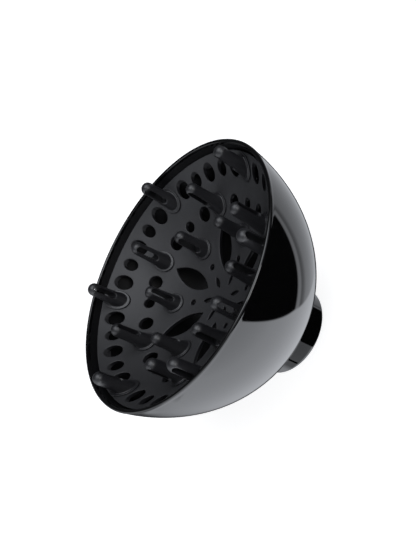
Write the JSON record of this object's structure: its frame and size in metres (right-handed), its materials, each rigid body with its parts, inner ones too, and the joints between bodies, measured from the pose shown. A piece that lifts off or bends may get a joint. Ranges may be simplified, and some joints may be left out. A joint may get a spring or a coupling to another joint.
{
  "type": "dryer diffuser",
  "caption": "Round hair dryer diffuser: a glossy bowl on a nozzle collar, with a perforated dish and rings of soft slotted fingers in its mouth.",
  "frame": {"origin": "centre of the collar's end face, on the plane that it stands on", "axes": "+Z along the axis out of the mouth, +X through an inner and an outer finger of the pattern"},
  "size_m": [0.1594, 0.1594, 0.1033],
  "materials": {
    "bowl_gloss": "high gloss black moulding",
    "dish_matt": "fine matt charcoal moulding",
    "finger_soft": "satin soft-touch black",
    "sleeve_rubber": "matt black rubber"
  },
  "bodies": {
    "root": {"bowl_shell": "bowl_gloss", "grip_sleeve": "sleeve_rubber", "finger_plate": "dish_matt", "finger_inner_1": "finger_soft", "finger_inner_2": "finger_soft", "finger_inner_3": "finger_soft", "finger_inner_4": "finger_soft", "finger_inner_5": "finger_soft", "finger_inner_6": "finger_soft", "finger_middle_1": "finger_soft", "finger_middle_2": "finger_soft", "finger_middle_3": "finger_soft", "finger_middle_4": "finger_soft", "finger_middle_5": "finger_soft", "finger_middle_6": "finger_soft", "finger_outer_1": "finger_soft", "finger_outer_2": "finger_soft", "finger_outer_3": "finger_soft", "finger_outer_4": "finger_soft", "finger_outer_5": "finger_soft", "finger_outer_6": "finger_soft"}
  },
  "joints": []
}
